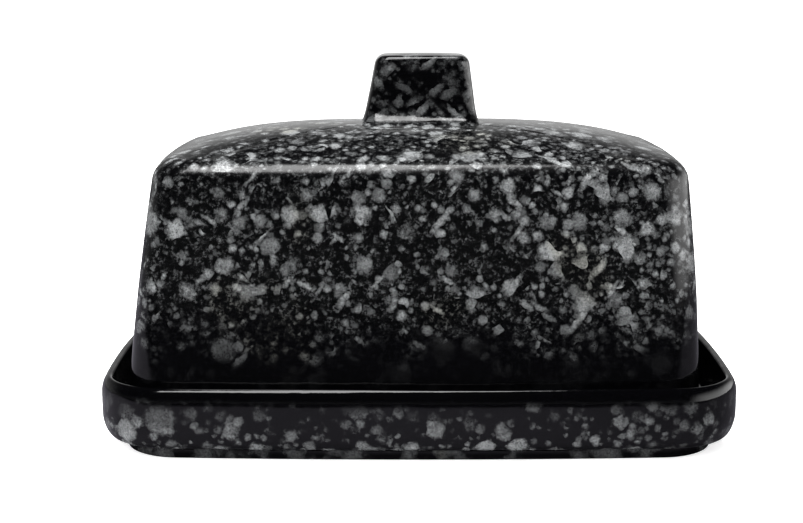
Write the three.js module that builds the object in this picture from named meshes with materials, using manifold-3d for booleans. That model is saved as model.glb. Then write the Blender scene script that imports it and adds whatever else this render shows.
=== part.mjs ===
// A covered butter dish in speckled black stoneware: a shallow footed tray, and a tall lid with a domed top and a
// square knob that stands on the tray's floor, inside the tray's rim.
//
// Millimetres, +Z up. The origin is the middle of the face that the dish rests on, +X runs along its length and the
// front is -Y. Each piece is a loft through plan outlines, and each outline is one step along the piece's profile.
import * as THREE from "three";
import { LoftGeometry } from "three/addons/geometries/LoftGeometry.js";
import { mergeVertices } from "three/addons/utils/BufferGeometryUtils.js";
import Module from "manifold-3d";

const wasm = await Module();
wasm.setup();

// The tray. Its outline bows outwards by bow at the middle of each side. The rim rolls over from the wall in a broad
// curve, rimRoll high, and turns down inside with a small radius.
const TRAY = {
  halfLength: 89.8,
  halfDepth: 56,
  corner: 18,
  bow: 2.6,
  height: 21,
  rimThickness: 3.2,
  rimRoll: 4.8,
  rimInnerRadius: 1,
  innerDraft: 0.3,
  floorTop: 8,
  floorFillet: 2.4,
  undercut: 3.6,
  undercutHeight: 7.6,
};

// The foot ring under the tray, set in from the tray's wall.
const FOOT = {
  inset: 6.5,
  width: 7,
  height: 3.8,
  bottomRound: 0.6,
};

// The lid's shell. draft is how far its wall comes in from base to shoulder, belly how far that wall swells, and
// shoulderSweep the angle that the shoulder turns through before it meets the crown.
const LID = {
  halfLength: 81.3,
  halfDepth: 49.3,
  corner: 11.7,
  bow: 2,
  shoulderHeight: 74.6,
  draft: 6.4,
  belly: 0.5,
  shoulderRadius: 6.5,
  shoulderSweep: 66,
  innerShoulderRadius: 1.5,
  crownTop: 88.3,
  crownPowerAlong: 3.7,
  crownPowerAcross: 2.5,
  crownEase: 1.8,
  crownEdgeFade: 6,
  wall: 4.5,
  roof: 5.2,
  rimRadius: 1.6,
};

// The lid is hand finished: it stands a little to the left and leans to the right as it rises.
const LID_OFFSET = -1.6;
const LID_LEAN = 0.027;

// The knob, luted into a shallow socket in the crown. A fillet of clay runs round its base, flareHeight high, and
// spreads much further at the front and back than at the sides. It starts flareDrop below the top of the crown.
const KNOB = {
  baseHalfLength: 16.6,
  baseHalfDepth: 9,
  topHalfLength: 13.4,
  topHalfDepth: 10.5,
  top: 108.1,
  topCrown: 0.4,
  corner: 3.2,
  bow: 0.5,
  topRadius: 2.4,
  flareSide: 1.2,
  flareFront: 6,
  flareHeight: 5,
  flareDrop: 0.5,
  socketDepth: 1.4,
};

// Clearances between pieces: upright faces, and faces that rest on each other.
const SIDE_GAP = 0.3;
const REST_GAP = 0.05;

// The share of its radius that a corner keeps, however far its outline moves in.
const LEAST_CORNER = 0.75;

// How finely the shapes are divided.
const CORNER_STEPS = 6;
const SIDE_STEPS = 8;
const ARC_STEPS = 4;
const WALL_STEPS = 5;
const CROWN_STEPS = 9;

const GLAZE = { roughness: 0.12, metalness: 0 };
const lidGlaze = new THREE.MeshStandardMaterial({ color: 0x303133, ...GLAZE });
const knobGlaze = new THREE.MeshStandardMaterial({ color: 0x222224, ...GLAZE });
const trayGlaze = new THREE.MeshStandardMaterial({ color: 0x2c2c2f, ...GLAZE });
const footGlaze = new THREE.MeshStandardMaterial({ color: 0x232325, ...GLAZE });

// A closed plan outline, counterclockwise: a rounded rectangle whose sides bow outwards.
function outline(halfLength, halfDepth, corner, bow) {
  const signs = [[1, 1], [-1, 1], [-1, -1], [1, -1]];
  const arcs = signs.map(([signX, signY], turn) => new THREE.EllipseCurve(
    signX * (halfLength - corner),
    signY * (halfDepth - corner),
    corner,
    corner,
    (turn * Math.PI) / 2,
    ((turn + 1) * Math.PI) / 2,
  ));
  const points = arcs.flatMap((arc, turn) => {
    const side = new THREE.LineCurve(arc.getPoint(1), arcs[(turn + 1) % 4].getPoint(0));
    return [...arc.getPoints(CORNER_STEPS), ...side.getPoints(SIDE_STEPS).slice(1, -1)];
  });
  return points.map(({ x, y }) => {
    const along = x / halfLength;
    const across = y / halfDepth;
    return new THREE.Vector2(x - bow * along * across ** 2, y - bow * across * along ** 2);
  });
}

// One section of a piece: its outline moved in by inset, at height z. It can be scaled about its middle, eased from
// the rounded rectangle (round 0) towards an ellipse (round 1), and moved to the side.
function section(piece, inset, z, { scale = 1, round = 0, shiftX = 0 } = {}) {
  const halfLength = piece.halfLength - inset;
  const halfDepth = piece.halfDepth - inset;
  const corner = Math.max(piece.corner - inset, piece.corner * LEAST_CORNER);
  return outline(halfLength, halfDepth, corner, piece.bow).map((p) => {
    const turn = Math.atan2(p.y / halfDepth, p.x / halfLength);
    p.lerp(new THREE.Vector2(halfLength * Math.cos(turn), halfDepth * Math.sin(turn)), round);
    return new THREE.Vector3(p.x * scale + shiftX, p.y * scale, z);
  });
}

// The middle of a flat or crowned face, where all of a section's points meet.
function middle(piece, z, shiftX = 0) {
  return section(piece, 0, z, { scale: 0, shiftX });
}

// Points of an arc in the profile plane, whose axes are inset and height.
function arc(centreInset, centreZ, radiusInset, radiusZ, startDegrees, endDegrees) {
  const curve = new THREE.EllipseCurve(
    centreInset,
    centreZ,
    radiusInset,
    radiusZ,
    THREE.MathUtils.degToRad(startDegrees),
    THREE.MathUtils.degToRad(endDegrees),
    endDegrees < startDegrees,
  );
  return curve.getPoints(ARC_STEPS);
}

// The tray: flat underside, round undercut, wall, rolled rim, inner wall, and a flat floor.
function trayGeometry() {
  const innerRadius = TRAY.rimInnerRadius;
  const rollInset = TRAY.rimThickness - innerRadius;
  const fillet = TRAY.floorFillet;
  const filletInset = TRAY.rimThickness + TRAY.innerDraft + fillet;
  const profile = [
    ...arc(TRAY.undercut, FOOT.height + TRAY.undercutHeight, TRAY.undercut, TRAY.undercutHeight, 270, 180),
    ...arc(rollInset, TRAY.height - TRAY.rimRoll, rollInset, TRAY.rimRoll, 180, 90),
    ...arc(rollInset, TRAY.height - innerRadius, innerRadius, innerRadius, 90, 0).slice(1),
    ...arc(filletInset, TRAY.floorTop + fillet, fillet, fillet, 180, 270),
  ];
  return new LoftGeometry([
    middle(TRAY, FOOT.height),
    ...profile.map((p) => section(TRAY, p.x, p.y)),
    middle(TRAY, TRAY.floorTop),
  ]);
}

// The foot: a closed ring, so its profile ends where it starts.
function footGeometry() {
  const outer = FOOT.inset;
  const inner = FOOT.inset + FOOT.width;
  const top = FOOT.height - REST_GAP;
  const profile = [
    new THREE.Vector2(inner, top),
    ...arc(inner - FOOT.bottomRound, FOOT.bottomRound, FOOT.bottomRound, FOOT.bottomRound, 0, -90),
    ...arc(outer + FOOT.bottomRound, FOOT.bottomRound, FOOT.bottomRound, FOOT.bottomRound, 270, 180),
    new THREE.Vector2(outer, top),
    new THREE.Vector2(inner, top),
  ];
  return new LoftGeometry(profile.map((p) => section(TRAY, p.x, p.y)));
}

// How far the lid's axis stands to the side at height z.
function lidShift(z) {
  return LID_OFFSET + LID_LEAN * (z - TRAY.floorTop);
}

// The lid's wall from its base to its shoulder, as a gently swelling curve in the profile plane.
function lidWall(inset, fromZ) {
  const foot = new THREE.Vector2(inset, fromZ);
  const shoulder = new THREE.Vector2(inset + LID.draft, LID.shoulderHeight);
  const swell = foot.clone().lerp(shoulder, 0.5);
  swell.x -= 2 * LID.belly;
  return new THREE.QuadraticBezierCurve(foot, swell, shoulder).getPoints(WALL_STEPS);
}

// The crown: a pillow, curved both along the lid and across it, that starts from a level edge.
function crownSections(inset, edgeZ, topZ) {
  const halfLength = LID.halfLength - inset;
  const halfDepth = LID.halfDepth - inset;
  const pillow = ({ x, y }) => {
    const along = 1 - Math.abs(x / halfLength) ** LID.crownPowerAlong;
    const across = 1 - Math.abs(y / halfDepth) ** LID.crownPowerAcross;
    return along * across;
  };
  const edge = section(LID, inset, edgeZ);
  const sections = [];
  for (let step = 0; step < CROWN_STEPS; step += 1) {
    const scale = Math.cos((step / CROWN_STEPS) * (Math.PI / 2));
    const outlinePoints = section(LID, inset, edgeZ, { scale, round: (1 - scale) ** LID.crownEase });
    sections.push(outlinePoints.map((p, index) => {
      const rise = pillow(p) - pillow(edge[index]) * scale ** LID.crownEdgeFade;
      const z = edgeZ + (topZ - edgeZ) * rise;
      return new THREE.Vector3(p.x + lidShift(z), p.y, z);
    }));
  }
  return [...sections, middle(LID, topZ, lidShift(topZ))];
}

// Sections of the lid at points of its profile.
function lidSections(profile) {
  return profile.map((p) => section(LID, p.x, p.y, { shiftX: lidShift(p.y) }));
}

// One skin of the lid, from its base up to the middle of its crown.
function lidSkin(inset, baseZ, shoulderRadius, topZ) {
  const centreInset = inset + LID.draft + shoulderRadius;
  const lastAngle = 180 - LID.shoulderSweep;
  const shoulder = arc(centreInset, LID.shoulderHeight, shoulderRadius, shoulderRadius, 180, lastAngle);
  const edge = shoulder.at(-1);
  return [
    ...lidSections([...lidWall(inset, baseZ), ...shoulder.slice(1, -1)]),
    ...crownSections(edge.x, edge.y, topZ),
  ];
}

const lidBase = TRAY.floorTop + REST_GAP;

// The shell before its socket is cut: inner skin from the crown down, rounded rim, outer skin back up to the crown.
function shellBlank() {
  const radius = LID.rimRadius;
  const wallStart = lidBase + radius;
  const outerSkin = lidSkin(0, wallStart, LID.shoulderRadius, LID.crownTop);
  const innerSkin = lidSkin(LID.wall, wallStart, LID.innerShoulderRadius, LID.crownTop - LID.roof);
  const rim = [
    ...arc(LID.wall - radius, wallStart, radius, radius, 0, -90).slice(1),
    ...arc(radius, wallStart, radius, radius, 270, 180).slice(0, -1),
  ];
  return new LoftGeometry([...innerSkin.reverse(), ...lidSections(rim), ...outerSkin]);
}

const socketFloor = LID.crownTop - KNOB.socketDepth;

// A straight-sided block that cuts the knob's socket into the crown.
function socketGeometry() {
  const block = {
    halfLength: KNOB.baseHalfLength + KNOB.flareSide + SIDE_GAP,
    halfDepth: KNOB.baseHalfDepth + KNOB.flareFront + SIDE_GAP,
    corner: KNOB.corner + KNOB.flareSide + SIDE_GAP,
    bow: KNOB.bow,
  };
  const shiftX = lidShift(LID.crownTop);
  const above = LID.crownTop + KNOB.socketDepth;
  return new LoftGeometry([
    middle(block, socketFloor, shiftX),
    section(block, 0, socketFloor, { shiftX }),
    section(block, 0, above, { shiftX }),
    middle(block, above, shiftX),
  ]);
}

// A closed geometry as a manifold-3d solid.
function toSolid(geometry) {
  const bare = new THREE.BufferGeometry();
  bare.setAttribute("position", geometry.getAttribute("position"));
  bare.setIndex(geometry.getIndex());
  const merged = mergeVertices(bare, 1e-4);
  return new wasm.Manifold(new wasm.Mesh({
    numProp: 3,
    vertProperties: merged.getAttribute("position").array,
    triVerts: new Uint32Array(merged.index.array),
  }));
}

// A manifold-3d solid as a geometry.
function toGeometry(solid) {
  const mesh = solid.getMesh();
  const geometry = new THREE.BufferGeometry();
  geometry.setAttribute("position", new THREE.BufferAttribute(mesh.vertProperties, mesh.numProp));
  geometry.setIndex(new THREE.BufferAttribute(mesh.triVerts, 1));
  geometry.computeVertexNormals();
  return geometry;
}

function shellGeometry() {
  return toGeometry(toSolid(shellBlank()).subtract(toSolid(socketGeometry())));
}

// The knob: a tapered block with rounded edges that flares into the crown at its base.
function knobGeometry() {
  const bottom = socketFloor + REST_GAP;
  // A section of the tapered block at height z, moved in by inset. spread (0 to 1) is its share of the flare.
  const slice = (z, { inset = 0, spread = 0, scale = 1 } = {}) => {
    const rise = Math.max(z - LID.crownTop, 0) / (KNOB.top - LID.crownTop);
    const block = {
      halfLength: THREE.MathUtils.lerp(KNOB.baseHalfLength, KNOB.topHalfLength, rise) + KNOB.flareSide * spread,
      halfDepth: THREE.MathUtils.lerp(KNOB.baseHalfDepth, KNOB.topHalfDepth, rise) + KNOB.flareFront * spread,
      corner: KNOB.corner + KNOB.flareSide * spread,
      bow: KNOB.bow,
    };
    return section(block, inset, z, { scale, shiftX: lidShift(z) });
  };
  const flareTop = LID.crownTop - KNOB.flareDrop + KNOB.flareHeight;
  const flare = arc(1, flareTop, 1, KNOB.flareHeight, 270, 180);
  const edgeTop = KNOB.top - KNOB.topCrown;
  const topEdge = arc(KNOB.topRadius, edgeTop - KNOB.topRadius, KNOB.topRadius, KNOB.topRadius, 180, 90);
  return new LoftGeometry([
    slice(bottom, { spread: 1, scale: 0 }),
    slice(bottom, { spread: 1 }),
    ...flare.map((p) => slice(p.y, { spread: p.x })),
    ...topEdge.map((p) => slice(p.y, { inset: p.x })),
    slice(KNOB.top - KNOB.topCrown / 4, { inset: KNOB.topRadius, scale: 0.5 }),
    slice(KNOB.top, { scale: 0 }),
  ]);
}

function named(name, geometry, material) {
  const mesh = new THREE.Mesh(geometry, material);
  mesh.name = name;
  return mesh;
}

const tray = new THREE.Group();
tray.add(named("tray_body", trayGeometry(), trayGlaze));
tray.add(named("tray_foot", footGeometry(), footGlaze));

const lid = new THREE.Group();
lid.add(named("lid_shell", shellGeometry(), lidGlaze));
lid.add(named("lid_knob", knobGeometry(), knobGlaze));

const butterDish = new THREE.Group();
butterDish.add(tray, lid);

export default butterDish;
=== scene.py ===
import math
from collections import namedtuple

import bpy
import numpy as np
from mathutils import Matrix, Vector, noise


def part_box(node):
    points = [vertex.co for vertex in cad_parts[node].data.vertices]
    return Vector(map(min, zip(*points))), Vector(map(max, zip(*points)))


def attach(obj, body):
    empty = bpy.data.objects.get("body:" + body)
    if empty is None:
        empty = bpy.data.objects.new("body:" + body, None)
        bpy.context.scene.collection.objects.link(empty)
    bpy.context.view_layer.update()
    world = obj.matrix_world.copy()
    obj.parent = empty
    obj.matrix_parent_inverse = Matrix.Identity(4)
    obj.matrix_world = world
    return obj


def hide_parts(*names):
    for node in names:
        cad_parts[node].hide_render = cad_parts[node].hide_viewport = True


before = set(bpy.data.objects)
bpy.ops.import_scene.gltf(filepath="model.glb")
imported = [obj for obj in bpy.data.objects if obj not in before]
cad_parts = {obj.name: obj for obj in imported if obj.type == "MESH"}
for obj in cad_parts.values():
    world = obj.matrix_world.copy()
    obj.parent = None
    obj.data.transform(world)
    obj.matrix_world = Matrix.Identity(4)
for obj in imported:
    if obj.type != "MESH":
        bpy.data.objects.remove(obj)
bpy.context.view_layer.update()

MM = 0.001
PER_MM = 1000.0


def box_mm(node):
    """A CAD node's lowest and highest corners, in millimetres."""
    low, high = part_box(node)
    return low * PER_MM, high * PER_MM


tray_low, tray_high = box_mm("tray_body")
_, foot_high = box_mm("tray_foot")
lid_low, lid_high = box_mm("lid_shell")
_, knob_high = box_mm("lid_knob")

# Plan outlines: rounded rectangles whose sides bow outwards by bow at their middles.
Plan = namedtuple("Plan", "half_length half_depth corner bow")

TRAY_PLAN = Plan(tray_high.x, tray_high.y, 18.0, 2.6)
RIM_THICKNESS = 3.2
RIM_ROLL = 4.8
RIM_INNER_RADIUS = 1.0
INNER_DRAFT = 0.3
FLOOR_TOP = 8.0
FLOOR_FILLET = 2.4
UNDERCUT = 3.6
UNDERCUT_HEIGHT = 7.6

FOOT_WIDTH = 7.0
FOOT_RADIUS = 0.6

# The lid leans a little to +X as it rises, and its base stands a little to -X.
LID_PLAN = Plan((lid_high.x - lid_low.x) / 2, lid_high.y, 11.7, 2.0)
LID_BASE_SHIFT = (lid_high.x + lid_low.x) / 2
LID_LEAN = 0.027
LID_DRAFT = 6.4
LID_BELLY = 0.5
LID_WALL = 4.5
LID_ROOF = 5.2
LID_RIM_RADIUS = 1.6
SHOULDER_Z = 75.3
SHOULDER_RADIUS = 6.5
INNER_SHOULDER_RADIUS = 1.5
# About how far the shoulder rises before it meets the crown, as a share of its radius.
SHOULDER_RISE = 0.8

# The crown's curves along the lid and across it: higher powers are flatter in the middle. Its level edge
# fades out towards the middle, and its rings grow rounder.
CROWN_POWER = (3.7, 2.5)
CROWN_EDGE_FADE = 6
CROWN_EASE = 1.8

# The knob is a tapered block. The fillet round its base spreads by KNOB_SPREAD at the sides, and at the
# front and back.
KNOB_BASE = (16.6, 9.0)
KNOB_TOP = (13.4, 10.5)
KNOB_CORNER = 3.2
KNOB_BOW = 0.5
KNOB_TOP_RADIUS = 2.4
KNOB_TOP_CROWN = 0.4
KNOB_SPREAD = (0.8, 7.0)
KNOB_FLARE_HEIGHT = 6.0
KNOB_SEAT = 0.4
# How many rings of the fillet wear the lid's spatter, and where rings lie on the knob's top, from edge to
# middle.
KNOB_SPATTERED = 7
KNOB_TOP_SHARES = (0.8, 0.6, 0.4, 0.2)

# The share of its radius that a corner keeps, however far its outline moves in.
LEAST_CORNER = 0.75

# How finely the shapes are divided.
CORNER_STEPS = 16
SIDE_STEPS = 36
ARC_STEPS = 14
FINE_ARC_STEPS = 8
WALL_STEPS = 44
CROWN_STEPS = 44
KNOB_SIDE_STEPS = 11
FLAT_STEPS = 6
TRAY_WALL_SHARES = (0.25, 0.5, 0.75)

# The shoulder's last angle is found by trial: a first guess in degrees, how often it is improved, and how
# far in from the crown's edge its slope is measured, as a share of the way to the middle.
TURN_GUESS = 65
TURN_TRIALS = 8
SLOPE_STEP = 0.01

# Cast clay is never quite true: the walls wander by this much over these distances.
WANDER = 0.22
WANDER_WAVELENGTH = 42.0
RIPPLE = 0.05
RIPPLE_WAVELENGTH = 13.0
CONTACT_FADE = 4.0


# Shapes

def outline(plan, inset=0.0):
    """The plan outline moved in by inset, counterclockwise, as an n x 2 array."""
    half = np.array([plan.half_length, plan.half_depth]) - inset
    corner = max(plan.corner - inset, plan.corner * LEAST_CORNER)
    signs = np.array([(1, 1), (-1, 1), (-1, -1), (1, -1)])
    points = []
    for quarter in range(4):
        turn = (quarter + np.linspace(0, 1, CORNER_STEPS + 1)) * math.pi / 2
        spokes = np.column_stack([np.cos(turn), np.sin(turn)])
        arc_points = signs[quarter] * (half - corner) + corner * spokes
        following = signs[(quarter + 1) % 4] * (half - corner)
        side_end = following + corner * np.array([math.cos(turn[-1]), math.sin(turn[-1])])
        along = np.linspace(0, 1, SIDE_STEPS + 1)[1:-1, None]
        points += [arc_points, arc_points[-1] * (1 - along) + side_end * along]
    points = np.concatenate(points)
    share = points / half
    return points - plan.bow * share * share[:, ::-1] ** 2


def outward(points):
    """Unit normals of a closed outline."""
    ahead = np.roll(points, -1, axis=0) - np.roll(points, 1, axis=0)
    normals = np.column_stack([ahead[:, 1], -ahead[:, 0]])
    return normals / np.linalg.norm(normals, axis=1, keepdims=True)


def inset_outline(plan, insets):
    """An outline whose points are each moved in by their own inset."""
    low, high = float(np.min(insets)), float(np.max(insets))
    if math.isclose(low, high, abs_tol=1e-6):
        return outline(plan, low)
    share = ((insets - low) / (high - low))[:, None]
    return outline(plan, low) * (1 - share) + outline(plan, high) * share


def eased(plan, points, inset, ease):
    """The outline's points, moved by a share from the rounded rectangle (ease 0) to an ellipse (ease 1)."""
    half = np.array([plan.half_length, plan.half_depth]) - np.mean(inset)
    turn = np.arctan2(points[:, 1] / half[1], points[:, 0] / half[0])
    ellipse = half * np.column_stack([np.cos(turn), np.sin(turn)])
    return points * (1 - ease) + ellipse * ease


def ring(points, heights):
    """A ring of 3-D points: outline points at one height or at a height each."""
    return np.column_stack([points, np.broadcast_to(heights, len(points))])


def flat_ring(plan, inset, z):
    """The plan outline moved in by inset, at one height."""
    return ring(outline(plan, inset), z)


def arc(centre_inset, centre_z, radius_inset, radius_z, start, end, steps=ARC_STEPS):
    """(inset, z) points of an arc in the profile plane. Angles are in degrees."""
    turns = np.radians(np.linspace(start, end, steps + 1))
    return [(centre_inset + radius_inset * math.cos(t), centre_z + radius_z * math.sin(t)) for t in turns]


def between(start, end):
    """Points on the tray's straight wall, whose profile runs from start to end."""
    return [tuple(np.array(start) * (1 - s) + np.array(end) * s) for s in TRAY_WALL_SHARES]


def flat_towards_middle(plan, inset, z, outwards):
    """Rings over a flat face, between its edge and its middle."""
    edge = flat_ring(plan, inset, z)
    scales = np.linspace(0, 1, FLAT_STEPS + 2)[1:-1]
    rings = [edge * (s, s, 1.0) for s in scales]
    return rings if outwards else rings[::-1]


def skin(name, bands, materials, pole_first=None, pole_last=None):
    """A mesh over rings of equal length. bands is a list of (rings, material index). The pole points close
    the ends, and without them the last ring joins the first."""
    rings = [r for band, _ in bands for r in band]
    owner = [index for band, index in bands for _ in band]
    count = len(rings[0])
    vertices = np.concatenate(rings)
    faces, face_materials = [], []
    pairs = [(i, i + 1) for i in range(len(rings) - 1)]
    if pole_first is None:
        pairs.append((len(rings) - 1, 0))
    for lower, upper in pairs:
        for j in range(count):
            k = (j + 1) % count
            faces.append((lower * count + j, lower * count + k, upper * count + k, upper * count + j))
            face_materials.append(owner[upper])
    if pole_first is not None:
        first, last = len(vertices), len(vertices) + 1
        vertices = np.concatenate([vertices, [pole_first, pole_last]])
        top = (len(rings) - 1) * count
        for j in range(count):
            k = (j + 1) % count
            faces.append((first, k, j))
            faces.append((top + j, top + k, last))
            face_materials += [owner[0], owner[-1]]
    mesh = bpy.data.meshes.new(name)
    mesh.from_pydata((vertices * MM).tolist(), [], faces)
    for material in materials:
        mesh.materials.append(material)
    mesh.polygons.foreach_set("material_index", face_materials)
    mesh.polygons.foreach_set("use_smooth", [True] * len(faces))
    mesh.validate()
    mesh.update()
    piece = bpy.data.objects.new(name, mesh)
    bpy.context.scene.collection.objects.link(piece)
    return piece


def wander(piece, rest_z, seed):
    """Moves a cast piece's surface slightly in and out, fading to nothing near the height it rests at."""
    mesh = piece.data
    offset = Vector((seed * 17.0, seed * 5.0, seed * 11.0))
    moved = []
    for vertex in mesh.vertices:
        place = vertex.co * PER_MM
        fade = min(1.0, max(0.0, (place.z - rest_z) / CONTACT_FADE))
        slow = noise.noise(place / WANDER_WAVELENGTH + offset) * WANDER
        quick = noise.noise(place / RIPPLE_WAVELENGTH + offset) * RIPPLE
        moved.append(vertex.co + vertex.normal * ((slow + quick) * fade * MM))
    mesh.vertices.foreach_set("co", [c for point in moved for c in point])
    mesh.update()


def settle(piece, body, node):
    """Puts a finished piece in the place of a CAD node."""
    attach(piece, body)
    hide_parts(node)


# Shader graphs

class Graph:
    """Adds nodes to a tree. Inputs have names or indices, and are values or the sockets that feed them."""

    def __init__(self, tree):
        self.tree = tree
        self.tree.nodes.clear()

    def add(self, kind, inputs=None, **settings):
        node = self.tree.nodes.new("ShaderNode" + kind)
        for name, value in settings.items():
            setattr(node, name, value)
        for key, value in (inputs or {}).items():
            if isinstance(value, bpy.types.NodeSocket):
                self.tree.links.new(value, node.inputs[key])
            else:
                node.inputs[key].default_value = value
        return node

    def math(self, operation, a, b=0.0):
        return self.add("Math", {0: a, 1: b}, operation=operation).outputs[0]

    def product(self, a, b):
        return self.math("MULTIPLY", a, b)

    def mix(self, factor, a, b):
        """A number between a and b."""
        return self.add("Mix", {0: factor, 2: a, 3: b}, data_type="FLOAT").outputs[0]

    def vector(self, operation, a, b=(0, 0, 0)):
        return self.add("VectorMath", {0: a, 1: b}, operation=operation).outputs[0]

    def scaled(self, a, factor):
        return self.add("VectorMath", {0: a, "Scale": factor}, operation="SCALE").outputs[0]

    def ramp(self, value, start, end, low=0.0, high=1.0):
        """low at start, high at end, smooth in between and level beyond."""
        inputs = {"Value": value, "From Min": start, "From Max": end, "To Min": low, "To Max": high}
        return self.add("MapRange", inputs, interpolation_type="SMOOTHSTEP").outputs[0]

    def line(self, value, start, end, low=0.0, high=1.0):
        """As ramp, but straight in between."""
        inputs = {"Value": value, "From Min": start, "From Max": end, "To Min": low, "To Max": high}
        return self.add("MapRange", inputs, interpolation_type="LINEAR").outputs[0]

    def either(self, factor, a, b):
        """The shader b where factor is 1 and a where it is 0."""
        return self.add("MixShader", {0: factor, 1: a.outputs[0], 2: b.outputs[0]})

    def blend(self, factor, a, b):
        """A colour between a and b."""
        return self.add("Mix", {0: factor, 6: a, 7: b}, data_type="RGBA").outputs[2]

    def noise(self, place, wavelength, detail=2.0, roughness=0.5):
        inputs = {"Vector": place, "Scale": 1.0 / wavelength, "Detail": detail, "Roughness": roughness}
        return self.add("TexNoise", inputs)

    def warped(self, place, wavelength, reach, detail=2.0):
        """place pushed about by noise, so that round spots get ragged edges."""
        push = self.noise(place, wavelength, detail).outputs["Color"]
        wobble = self.vector("SUBTRACT", push, (0.5, 0.5, 0.5))
        return self.vector("ADD", place, self.scaled(wobble, reach))

    def distance_along(self, place, axis):
        return self.add("VectorMath", {0: place, 1: axis}, operation="DOT_PRODUCT").outputs["Value"]

    def stretched(self, place, direction, stretch):
        """place measured along direction and across it, shortened along it, which draws spots out that
        way."""
        along = Vector(direction).normalized()
        across = along.orthogonal().normalized()
        axes = (along / stretch, across, along.cross(across))
        parts = [self.distance_along(place, axis) for axis in axes]
        return self.add("CombineXYZ", dict(enumerate(parts))).outputs[0]

    def spots(self, place, cell, radii, share, soft, lit=(0.5, 1.0), crowding=None, grit=None):
        """Round spots, at most one to each cell of this size. radii is the range of their sizes and soft
        the width of their edges, as shares of a cell. share is how many cells have one, and crowding
        multiplies it. lit is the range of their strengths. grit is a length in millimetres that is added to
        their size from place to place, and makes their edges ragged."""
        found = self.add("TexVoronoi", {"Vector": place, "Scale": 1.0 / cell, "Randomness": 0.8},
                         voronoi_dimensions="3D")
        chance = self.add("SeparateColor", {0: found.outputs["Color"]})
        radius = self.line(chance.outputs[0], 0, 1, *radii)
        if grit is not None:
            radius = self.math("ADD", radius, self.math("DIVIDE", grit, cell))
        inside = self.ramp(self.math("SUBTRACT", found.outputs["Distance"], radius), soft, -soft)
        limit = share if crowding is None else self.product(crowding, share)
        present = self.math("LESS_THAN", chance.outputs[1], limit)
        strength = self.line(chance.outputs[2], 0, 1, *lit)
        return self.product(self.product(inside, present), strength)

    def strongest(self, layers):
        best = layers[0]
        for layer in layers[1:]:
            best = self.math("MAXIMUM", best, layer)
        return best


# Glazes

def new_material(name):
    material = bpy.data.materials.new(name)
    material.use_nodes = True
    return material, Graph(material.node_tree)


def place_in_mm(graph):
    return graph.scaled(graph.add("TexCoord").outputs["Object"], PER_MM)


BLACK_GLAZE = (0.0006, 0.0006, 0.0008, 1.0)
PALE_GLAZE = (0.180, 0.186, 0.189, 1.0)
WARM_GLAZE = (0.180, 0.178, 0.155, 1.0)
DARK_CLAY = (0.022, 0.019, 0.017, 1.0)
LIGHT_CLAY = (0.115, 0.095, 0.080, 1.0)
BLACK_SHINE = 0.42
PALE_SHINE = 0.95
BLACK_ROUGHNESS = 0.07
PALE_ROUGHNESS = 0.16
HAZE_ROUGHNESS = 0.09
# Millimetres by which the glaze swells and ripples, spots stand up, and spots' edges wander.
SWELL_HEIGHT = 0.10
RIPPLE_HEIGHT = 0.050
SPOT_HEIGHT = 0.012
GRIT = 0.36


def glaze_surface(graph, place, pale, warmth=0.0, haze=0.0):
    """Black glaze with pale spots of strength pale (0 to 1), slightly raised. haze is how much fine
    overspray dulls the gloss."""
    tint = graph.ramp(graph.noise(place, 26.0).outputs[0], 0.60, 0.70, 0.0, warmth)
    spot_colour = graph.blend(tint, PALE_GLAZE, WARM_GLAZE)
    colour = graph.blend(pale, BLACK_GLAZE, spot_colour)
    gloss = graph.line(pale, 0.0, 1.0, BLACK_ROUGHNESS, PALE_ROUGHNESS)
    roughness = graph.math("ADD", gloss, graph.product(haze, HAZE_ROUGHNESS))
    swell = graph.product(graph.noise(place, 7.0, detail=0.0).outputs[0], SWELL_HEIGHT)
    ripple = graph.product(graph.noise(place, 3.0, detail=3.0).outputs[0], RIPPLE_HEIGHT)
    height = graph.math("ADD", graph.math("ADD", swell, ripple), graph.product(pale, SPOT_HEIGHT))
    bump = graph.add("Bump", {"Height": height, "Distance": MM, "Strength": 1.0})
    surface = graph.add("BsdfPrincipled", {
        "Base Color": colour,
        "Roughness": roughness,
        "Specular IOR Level": graph.line(pale, 0.0, 0.8, BLACK_SHINE, PALE_SHINE),
        "Normal": bump.outputs[0],
    })
    graph.add("OutputMaterial", {"Surface": surface.outputs[0]})


def mottled(graph, place, strength):
    """Spots are not flat: fine grain, and small dark pinholes where the black shows through."""
    grain = graph.noise(place, 0.6, detail=3.0, roughness=0.8).outputs[0]
    cloud = graph.noise(place, 2.6, detail=2.0).outputs[0]
    pinholes = graph.spots(place, 1.2, (0.05, 0.34), 0.5, 0.16, lit=(0.2, 0.65))
    level = graph.product(graph.line(grain, 0.32, 0.68, 0.30, 1.50), graph.line(cloud, 0.3, 0.7, 0.65, 1.2))
    level = graph.product(level, graph.math("SUBTRACT", 1.0, pinholes))
    return graph.product(strength, level)


def gritty(graph, place):
    """How ragged the spots' edges are: a length in millimetres that varies from place to place."""
    rough = graph.noise(place, 1.3, detail=4.0, roughness=0.7).outputs[0]
    return graph.line(rough, 0.3, 0.7, -GRIT, GRIT)


def ragged_height(graph, place, height, wavelength, reach):
    """Height above the table, blurred by up to reach millimetres so that what fades with it has no straight
    edge."""
    wobble = graph.line(graph.noise(place, wavelength).outputs[0], 0.3, 0.7, -reach, reach)
    return graph.math("ADD", height, wobble)


# Heights above the table, in millimetres, between which the glazes change. The lid's spots fade out near its
# base, partly thinner spatter and partly painted shade; they are denser on the crown and painted paler
# there, as light from above; and its shoulder is hazy. The tray's spatter stops below the rolled rim and is
# paler lower down.
LID_THINS_AND_SHADED = (26.0, 45.0)
LID_DENSER = (76.0, 82.0)
CROWN_PAINTED_LIGHT = (74.0, 82.0)
HAZE_STARTS = (74.0, 77.0)
HAZE_ENDS = (83.0, 80.0)
RIM_STAYS_BLACK = (18.5, 13.5)
TRAY_PALER = (14.0, 6.0)

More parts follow.
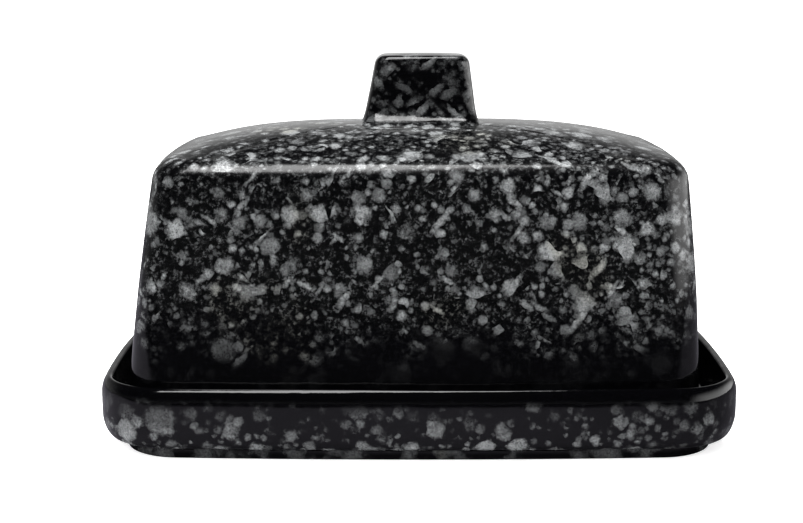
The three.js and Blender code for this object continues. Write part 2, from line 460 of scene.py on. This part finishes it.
# In the glazes below, each layer of spots is given as its place, cell, radii, share, soft edge, range of
# strengths, crowding and grit.

def lid_glaze():
    """Dense spatter: merged blotches, round drops, mist, and streaks flung both ways. Near the base the
    spots fade out, partly thinner spatter and partly painted shade; on the crown they are painted paler, as
    light from above."""
    material, graph = new_material("lid_glaze")
    place = place_in_mm(graph)
    parts = graph.add("SeparateXYZ", {0: place})
    height = parts.outputs[2]
    edge = graph.warped(place, 3.6, 1.8)
    fine_edge = graph.warped(place, 2.0, 0.7)
    grit = gritty(graph, place)
    coarse = graph.product(grit, 1.6)
    flung_right = graph.stretched(edge, (1, 0.5, 1.3), 6.0)
    flung_left = graph.stretched(edge, (-1, 0.5, 0.6), 8.0)
    clumps = graph.ramp(graph.noise(place, 9.0, detail=1.0).outputs[0], 0.42, 0.60, 0.60, 1.30)
    rightwards = graph.ramp(parts.outputs[0], 15.0, 65.0, 1.0, 1.9)
    denser = graph.ramp(height, *LID_DENSER, rightwards, 1.35)
    crowding = graph.product(clumps, denser)
    layers = [
        graph.spots(edge, 10.0, (0.16, 0.38), 0.38, 0.10, (0.35, 0.90), crowding, coarse),
        graph.spots(edge, 6.4, (0.14, 0.38), 0.54, 0.14, (0.30, 1.0), crowding, coarse),
        graph.spots(fine_edge, 3.7, (0.12, 0.40), 0.58, 0.18, (0.20, 0.90), crowding, grit),
        graph.spots(fine_edge, 2.1, (0.12, 0.42), 0.48, 0.24, (0.08, 0.60), crowding, grit),
        graph.spots(flung_right, 2.6, (0.12, 0.40), 0.16, 0.20, (0.5, 1.0), None, grit),
        graph.spots(flung_left, 2.2, (0.10, 0.36), 0.12, 0.20, (0.5, 1.0), None, grit),
    ]
    mist = graph.ramp(graph.noise(place, 1.6, detail=5.0, roughness=0.75).outputs[0], 0.50, 0.72, 0.0, 0.30)
    layers.append(mist)
    # Painted shade: the spots dim to nearly black low on the wall, partly thinner spatter and partly shade
    # near the tray.
    base_thin_and_shade = graph.ramp(ragged_height(graph, place, height, 12.0, 5.0), *LID_THINS_AND_SHADED, 0.02, 1.0)
    # Painted light: spots on the crown are made up to 1.3 times paler, as if lit from above.
    level = graph.product(base_thin_and_shade, graph.ramp(height, *CROWN_PAINTED_LIGHT, 1.0, 1.3))
    pale = graph.product(mottled(graph, place, graph.strongest(layers)), level)
    shoulder = graph.product(graph.ramp(height, *HAZE_STARTS), graph.ramp(height, *HAZE_ENDS))
    haze = graph.math("ADD", base_thin_and_shade, graph.product(shoulder, 0.5))
    glaze_surface(graph, place, pale, warmth=0.6, haze=haze)
    return material


def knob_glaze():
    """Mostly black, with soft drawn-out specks."""
    material, graph = new_material("knob_glaze")
    place = place_in_mm(graph)
    edge = graph.warped(place, 2.2, 1.2)
    grit = gritty(graph, place)
    drawn_right = graph.stretched(edge, (1, 0.3, 0.8), 2.4)
    drawn_left = graph.stretched(edge, (-1, 0.4, 0.9), 2.8)
    layers = [
        graph.spots(drawn_right, 3.0, (0.10, 0.46), 0.60, 0.30, (0.25, 0.8), None, grit),
        graph.spots(drawn_left, 2.6, (0.10, 0.44), 0.50, 0.30, (0.2, 0.7), None, grit),
        graph.spots(edge, 4.4, (0.08, 0.42), 0.56, 0.24, (0.2, 0.75), None, grit),
        graph.spots(edge, 1.8, (0.08, 0.40), 0.50, 0.28, (0.1, 0.4), None, grit),
    ]
    pale = graph.product(mottled(graph, place, graph.strongest(layers)), 0.75)
    glaze_surface(graph, place, pale, haze=0.4)
    return material


def tray_glaze():
    """Big soft blotches on the wall, paler towards its lower edge, and none on the rolled rim."""
    material, graph = new_material("tray_glaze")
    place = place_in_mm(graph)
    edge = graph.warped(place, 4.5, 1.6)
    grit = gritty(graph, place)
    coarse = graph.product(grit, 1.5)
    layers = [
        graph.spots(edge, 11.0, (0.20, 0.40), 0.70, 0.08, (0.16, 0.44), None, coarse),
        graph.spots(edge, 7.0, (0.20, 0.40), 0.80, 0.10, (0.12, 0.48), None, coarse),
        graph.spots(edge, 4.6, (0.16, 0.42), 0.80, 0.14, (0.10, 0.46), None, grit),
        graph.spots(edge, 2.4, (0.14, 0.42), 0.55, 0.22, (0.06, 0.34), None, grit),
    ]
    parts = graph.add("SeparateXYZ", {0: place})
    height = parts.outputs[2]
    fade = graph.ramp(ragged_height(graph, place, height, 9.0, 1.5), *RIM_STAYS_BLACK)
    duller = graph.ramp(parts.outputs[0], 45.0, 80.0, 1.10, 0.75)
    low = graph.product(duller, graph.ramp(height, *TRAY_PALER, 0.75, 1.60))
    pale = graph.product(mottled(graph, place, graph.strongest(layers)), graph.product(fade, low))
    glaze_surface(graph, place, pale, warmth=0.3, haze=graph.product(fade, 0.3))
    return material


def foot_glaze():
    """Black with dull grey-brown patches."""
    material, graph = new_material("foot_glaze")
    place = place_in_mm(graph)
    patches = graph.ramp(graph.noise(place, 7.0, detail=3.0).outputs[0], 0.44, 0.62, 0.0, 0.30)
    glaze_surface(graph, place, mottled(graph, place, patches), warmth=0.9, haze=0.5)
    return material


def plain_glaze():
    """The black glaze inside the dish, on the rim and underneath, with the odd stray speck."""
    material, graph = new_material("plain_glaze")
    place = place_in_mm(graph)
    specks = graph.spots(place, 7.0, (0.02, 0.10), 0.18, 0.05, (0.1, 0.4))
    glaze_surface(graph, place, specks)
    return material


def dry_clay():
    """Bare fired stoneware where a piece stood in the kiln."""
    material, graph = new_material("dry_clay")
    place = place_in_mm(graph)
    grain = graph.noise(place, 0.8, detail=4.0, roughness=0.7).outputs[0]
    cloud = graph.noise(place, 9.0).outputs[0]
    light = graph.product(graph.line(grain, 0.3, 0.7, 0.6, 1.2), graph.line(cloud, 0.3, 0.7, 0.8, 1.1))
    colour = graph.blend(light, DARK_CLAY, LIGHT_CLAY)
    bump = graph.add("Bump", {"Height": graph.product(grain, 0.12), "Distance": MM, "Strength": 1.0})
    inputs = {"Base Color": colour, "Roughness": 0.85, "Normal": bump.outputs[0]}
    surface = graph.add("BsdfPrincipled", inputs)
    graph.add("OutputMaterial", {"Surface": surface.outputs[0]})
    return material


plain = plain_glaze()
clay = dry_clay()
lid_coat = lid_glaze()
WALL, INSIDE, DRY = 0, 1, 2


# The tray and its foot

def build_tray():
    """The tray: flat underside, round undercut, wall, rolled rim, inner wall and flat floor."""
    foot_z, top_z = tray_low.z, tray_high.z
    roll_inset = RIM_THICKNESS - RIM_INNER_RADIUS
    fillet_inset = RIM_THICKNESS + INNER_DRAFT + FLOOR_FILLET
    wall_bottom = foot_z + UNDERCUT_HEIGHT
    wall_top = top_z - RIM_ROLL
    radius = RIM_INNER_RADIUS
    outside = arc(UNDERCUT, wall_bottom, UNDERCUT, UNDERCUT_HEIGHT, 270, 180)
    outside += between((0.0, wall_bottom), (0.0, wall_top))
    outside += arc(roll_inset, wall_top, roll_inset, RIM_ROLL, 180, 90)
    inner_edge = arc(roll_inset, top_z - radius, radius, radius, 90, 0, FINE_ARC_STEPS)
    fillet = arc(fillet_inset, FLOOR_TOP + FLOOR_FILLET, FLOOR_FILLET, FLOOR_FILLET, 180, 270)
    inner_wall = between(inner_edge[-1], fillet[0])
    bands = [
        (flat_towards_middle(TRAY_PLAN, UNDERCUT, foot_z, True), INSIDE),
        ([flat_ring(TRAY_PLAN, *p) for p in outside], WALL),
        ([flat_ring(TRAY_PLAN, *p) for p in inner_edge[1:] + inner_wall + fillet], INSIDE),
        (flat_towards_middle(TRAY_PLAN, fillet_inset, FLOOR_TOP, False), INSIDE),
    ]
    piece = skin("tray", bands, [tray_glaze(), plain], (0, 0, foot_z), (0, 0, FLOOR_TOP))
    wander(piece, FLOOR_TOP, seed=1)
    settle(piece, "tray", "tray_body")


def build_foot():
    """The foot ring under the tray. Its narrow resting face is dry clay."""
    outer = TRAY_PLAN.half_depth - foot_high.y
    inner = outer + FOOT_WIDTH
    top = foot_high.z
    radius = FOOT_RADIUS
    middle = (top + radius) / 2
    bottom_inner = arc(inner - radius, radius, radius, radius, 0, -90, FINE_ARC_STEPS)
    bottom_outer = arc(outer + radius, radius, radius, radius, 270, 180, FINE_ARC_STEPS)
    inner_side = [(inner, top), (inner, middle)]
    outer_side = [(outer, middle), (outer, top)]
    bands = [
        ([flat_ring(TRAY_PLAN, *p) for p in inner_side + bottom_inner], WALL),
        ([flat_ring(TRAY_PLAN, *bottom_outer[0])], DRY),
        ([flat_ring(TRAY_PLAN, *p) for p in bottom_outer[1:] + outer_side], WALL),
    ]
    piece = skin("foot_ring", bands, [foot_glaze(), plain, clay])
    settle(piece, "tray", "tray_foot")


# The lid

LID_BASE_Z = lid_low.z
CROWN_TOP_Z = lid_high.z


def lid_shift(z):
    """How far the lid's axis stands to the side at height z."""
    return LID_BASE_SHIFT + LID_LEAN * (z - LID_BASE_Z)


def lean(points):
    """The lid's points, moved to the side by the lid's shift at their heights."""
    shifted = points.copy()
    shifted[:, 0] += lid_shift(points[:, 2])
    return shifted


def pillow(points, half):
    """Height of a surface curved both along and across, from 0 at its edges to 1 in its middle."""
    along, across = (np.abs(points) / half).T
    return (1 - along ** CROWN_POWER[0]) * (1 - across ** CROWN_POWER[1])


def crown_rise(points, edge, scale):
    """Height of points on the crown, from 0 at its edge to 1. They lie at this scale between its middle and
    its edge, which is kept level all the way round."""
    half = edge.max(axis=0)
    return pillow(points, half) - pillow(edge, half) * scale ** CROWN_EDGE_FADE


def shoulder_turn(inset, radius, start_turn, top_z):
    """For each point of the outline, the angle at which the shoulder's slope meets the crown's."""
    turn = np.full(len(outline(LID_PLAN)), math.radians(TURN_GUESS))
    scale = 1 - SLOPE_STEP
    for _ in range(TURN_TRIALS):
        edge_inset = inset + radius * (math.cos(start_turn) - np.cos(turn))
        edge_z = SHOULDER_Z + radius * (np.sin(turn) - math.sin(start_turn))
        points = inset_outline(LID_PLAN, edge_inset)
        reach = (points * outward(points)).sum(axis=1)
        slope = (top_z - edge_z) * crown_rise(points * scale, points, scale) / (SLOPE_STEP * reach)
        turn = math.pi / 2 - np.arctan(slope)
    return turn


def lid_rings(inset, wall_start_z, radius, top_z):
    """Rings of one skin of the lid, from its base up to the edge of its pole."""
    foot = np.array([inset, wall_start_z])
    head = np.array([inset + LID_DRAFT, SHOULDER_Z])
    swell = (foot + head) / 2 - (2 * LID_BELLY, 0)
    rings = []
    for t in np.linspace(0, 1, WALL_STEPS + 1):
        at, z = foot * (1 - t) ** 2 + swell * 2 * t * (1 - t) + head * t ** 2
        rings.append(flat_ring(LID_PLAN, at, z))
    start_turn = math.atan2(head[0] - swell[0], head[1] - swell[1])
    end_turn = shoulder_turn(head[0], radius, start_turn, top_z)
    for t in np.linspace(0, 1, ARC_STEPS + 1)[1:]:
        turn = start_turn + (end_turn - start_turn) * t
        insets = head[0] + radius * (math.cos(start_turn) - np.cos(turn))
        heights = SHOULDER_Z + radius * (np.sin(turn) - math.sin(start_turn))
        rings.append(ring(inset_outline(LID_PLAN, insets), heights))
    edge, edge_z = rings[-1][:, :2], rings[-1][:, 2]
    for step in range(1, CROWN_STEPS):
        scale = math.cos(step / CROWN_STEPS * math.pi / 2)
        points = eased(LID_PLAN, edge, insets, (1 - scale) ** CROWN_EASE) * scale
        rings.append(ring(points, edge_z + (top_z - edge_z) * crown_rise(points, edge, scale)))
    return [lean(r) for r in rings]


def crown_height(points):
    """Height of the crown near its middle."""
    half = np.array([LID_PLAN.half_length, LID_PLAN.half_depth]) - LID_DRAFT - SHOULDER_RADIUS / 2
    edge_z = SHOULDER_Z + SHOULDER_RADIUS * SHOULDER_RISE
    return edge_z + (CROWN_TOP_Z - edge_z) * pillow(points, half)


def build_lid():
    """The lid's shell: inner skin, rounded edge with a dry resting face, and outer skin."""
    radius = LID_RIM_RADIUS
    wall_start = LID_BASE_Z + radius
    outer = lid_rings(0.0, wall_start, SHOULDER_RADIUS, CROWN_TOP_Z)
    inner = lid_rings(LID_WALL, wall_start, INNER_SHOULDER_RADIUS, CROWN_TOP_Z - LID_ROOF)[::-1]
    inner_edge = arc(LID_WALL - radius, wall_start, radius, radius, 0, -90, FINE_ARC_STEPS)[1:]
    outer_edge = arc(radius, wall_start, radius, radius, 270, 180, FINE_ARC_STEPS)[:-1]
    bands = [
        (inner, INSIDE),
        ([lean(flat_ring(LID_PLAN, *p)) for p in inner_edge], INSIDE),
        ([lean(flat_ring(LID_PLAN, *outer_edge[0]))], DRY),
        ([lean(flat_ring(LID_PLAN, *p)) for p in outer_edge[1:]], WALL),
        (outer, WALL),
    ]
    roof_z = CROWN_TOP_Z - LID_ROOF
    piece = skin("lid", bands, [lid_coat, plain, clay], (lid_shift(roof_z), 0, roof_z),
                 (lid_shift(CROWN_TOP_Z), 0, CROWN_TOP_Z))
    wander(piece, LID_BASE_Z, seed=2)
    settle(piece, "lid", "lid_shell")


def build_knob():
    """The knob, with the fillet that joins it to the crown."""
    top_z = knob_high.z
    base_z = CROWN_TOP_Z

    def block(rise, spread, inset=0.0):
        """The knob's outline at a share of its height, grown by a share of the fillet's spread."""
        half = [b + (t - b) * rise + grow * spread for b, t, grow in zip(KNOB_BASE, KNOB_TOP, KNOB_SPREAD)]
        return outline(Plan(half[0], half[1], KNOB_CORNER + KNOB_SPREAD[0] * spread, KNOB_BOW), inset)

    def fillet_ring(spread, lift):
        """A ring of the fillet. It follows the crown at its outer edge and is level where it meets the
        block."""
        points = block(lift / (top_z - base_z), spread)
        drop = (crown_height(points) - base_z) * (1 - lift / KNOB_FLARE_HEIGHT)
        return ring(points, base_z + lift + drop)

    def block_ring(z, inset=0.0):
        return ring(block((z - base_z) / (top_z - base_z), 0.0, inset), z)

    side_start = base_z + KNOB_FLARE_HEIGHT
    edge_z = top_z - KNOB_TOP_CROWN
    side_end = edge_z - KNOB_TOP_RADIUS
    fillet = [fillet_ring(*p) for p in arc(1.0, KNOB_FLARE_HEIGHT, 1.0, KNOB_FLARE_HEIGHT, 270, 180)]
    fillet.insert(0, fillet[0] - (0, 0, KNOB_SEAT))
    side_shares = np.linspace(0, 1, KNOB_SIDE_STEPS + 1)[1:-1]
    sides = [block_ring(side_start + (side_end - side_start) * s) for s in side_shares]
    top_edge = arc(KNOB_TOP_RADIUS, side_end, KNOB_TOP_RADIUS, KNOB_TOP_RADIUS, 180, 90)
    sides += [block_ring(z, inset) for inset, z in top_edge]
    edge = block_ring(edge_z, KNOB_TOP_RADIUS)
    sides += [edge * (s, s, 1) + (0, 0, KNOB_TOP_CROWN * (1 - s * s)) for s in KNOB_TOP_SHARES]
    spattered, rest = fillet[:KNOB_SPATTERED], fillet[KNOB_SPATTERED:] + sides
    bands = [([lean(r) for r in spattered], WALL), ([lean(r) for r in rest], INSIDE)]
    bottom = (lid_shift(base_z), 0, base_z - KNOB_SEAT)
    piece = skin("knob", bands, [lid_coat, knob_glaze()], bottom, (lid_shift(top_z), 0, top_z))
    wander(piece, side_start, seed=3)
    settle(piece, "lid", "lid_knob")


build_tray()
build_foot()
build_lid()
build_knob()


# Camera

CAMERA_LENS = 66.2
CAMERA_SENSOR = 36.0
CAMERA_PLACE = Vector((-4.9, -435.6, 126.55)) * MM
CAMERA_DOWN = 0.1829

camera_data = bpy.data.cameras.new("camera")
camera_data.lens = CAMERA_LENS
camera_data.sensor_width = CAMERA_SENSOR
camera = bpy.data.objects.new("camera", camera_data)
camera.location = CAMERA_PLACE
camera.rotation_euler = (math.pi / 2 - CAMERA_DOWN, 0, 0)
bpy.context.scene.collection.objects.link(camera)
bpy.context.scene.camera = camera

# The studio turns with the camera about the vertical, so that every side is lit alike.
heading = bpy.data.objects.new("camera_heading", None)
bpy.context.scene.collection.objects.link(heading)
follow = heading.constraints.new("COPY_ROTATION")
follow.target = camera
follow.use_x = False
follow.use_y = False


# Light

def card(name, place, size, power, tilt=0.0, turn=0.0, glossy=True):
    """A rectangular soft light that points down, tilted towards the back and turned about the vertical.
    Places and sizes are in metres, angles in degrees."""
    data = bpy.data.lights.new(name, "AREA")
    data.shape = "RECTANGLE"
    data.size, data.size_y = size
    data.energy = power
    lamp = bpy.data.objects.new(name, data)
    lamp.location = place
    lamp.rotation_euler = (math.radians(tilt), 0, math.radians(turn))
    lamp.visible_glossy = glossy
    lamp.parent = heading
    bpy.context.scene.collection.objects.link(lamp)


# Of the lamps, only the slanted strip is mirrored in the glaze. The two fills light the spots.
card("strip_softbox", place=(-0.126, -0.215, 1.0), size=(0.29, 0.8), power=6.8, turn=-26)
card("top_fill", place=(0.0, 0.0, 1.15), size=(0.8, 0.8), power=27.0, glossy=False)
card("front_fill", place=(-0.35, -1.1, 0.75), size=(1.0, 0.8), power=12.0, tilt=57, turn=-18, glossy=False)

# Brightness of the surroundings: as the camera sees them, as they light the dish, and as the glaze mirrors
# them.
SEEN_WHITE = 1.2
AMBIENT = 0.55
BACKDROP = 0.68
BACKDROP_TOP = 0.02
RIGHT_CARD = 2.6
ROOM_LOW = 0.08
ROOM_HIGH = 0.006


def studio_world():
    """White to the camera. The glaze mirrors a pale backdrop behind the dish, brightest low down and in the
    middle, a bright card to the right, and a dark room in front."""
    world = bpy.data.worlds.new("studio")
    bpy.context.scene.world = world
    world.use_nodes = True
    graph = Graph(world.node_tree)
    path = graph.add("LightPath")
    direction = graph.add("SeparateXYZ", {0: graph.add("TexCoord", object=heading).outputs["Object"]})
    to_right, to_back, up = direction.outputs
    behind = graph.ramp(to_back, -0.1, 0.7)
    middle = graph.ramp(graph.math("ABSOLUTE", to_right), 0.08, 0.28, 1.0, 0.6)
    backdrop = graph.product(middle, graph.ramp(up, 0.70, 0.0, BACKDROP_TOP, BACKDROP))
    right = graph.product(graph.ramp(to_right, 0.5, 0.95), graph.ramp(up, 0.6, 0.1, 0.0, RIGHT_CARD))
    room = graph.ramp(up, 0.20, 0.05, ROOM_HIGH, ROOM_LOW)
    mirrored = graph.math("MAXIMUM", graph.mix(behind, room, backdrop), right)
    light = graph.mix(path.outputs["Is Glossy Ray"], AMBIENT, mirrored)
    strength = graph.mix(path.outputs["Is Camera Ray"], light, SEEN_WHITE)
    background = graph.add("Background", {"Color": (1, 1, 1, 1), "Strength": strength})
    graph.add("OutputWorld", {"Surface": background.outputs[0]})


FLOOR_RADIUS = 3.0
FLOOR_SIDES = 96
PAPER = (0.9, 0.9, 0.9, 1.0)
PAPER_GLOW = 0.7
MIRRORED_FAR = (0.008, 0.008, 0.009, 1.0)
MIRRORED_NEAR = (0.110, 0.106, 0.122, 1.0)


def studio_floor():
    """A white table. In reflections only, it is grey in front of the dish, and dark further away and to the
    right."""
    turns = np.linspace(0, 2 * math.pi, FLOOR_SIDES, False)
    corners = [(FLOOR_RADIUS * math.cos(turn), FLOOR_RADIUS * math.sin(turn), 0) for turn in turns]
    mesh = bpy.data.meshes.new("floor")
    mesh.from_pydata(corners, [], [tuple(range(FLOOR_SIDES))])
    floor = bpy.data.objects.new("floor", mesh)
    bpy.context.scene.collection.objects.link(floor)
    material, graph = new_material("white_table")
    path = graph.add("LightPath")
    place = graph.add("SeparateXYZ", {0: graph.add("TexCoord", object=heading).outputs["Object"]})
    to_right, to_back = place.outputs[0], place.outputs[1]
    near = graph.product(graph.ramp(to_back, -0.170, -0.112), graph.ramp(to_right, 0.02, 0.12, 1.0, 0.5))
    mirrored = graph.add("BsdfDiffuse", {"Color": graph.blend(near, MIRRORED_FAR, MIRRORED_NEAR)})
    paper = graph.add("BsdfDiffuse", {"Color": PAPER})
    lift = graph.add("Emission", {"Color": (1, 1, 1, 1), "Strength": PAPER_GLOW})
    bright = graph.add("AddShader", {0: paper.outputs[0], 1: lift.outputs[0]})
    seen = graph.either(path.outputs["Is Camera Ray"], paper, bright)
    surface = graph.either(path.outputs["Is Glossy Ray"], seen, mirrored)
    graph.add("OutputMaterial", {"Surface": surface.outputs[0]})
    mesh.materials.append(material)


studio_world()
studio_floor()
bpy.context.scene.view_settings.view_transform = "Standard"
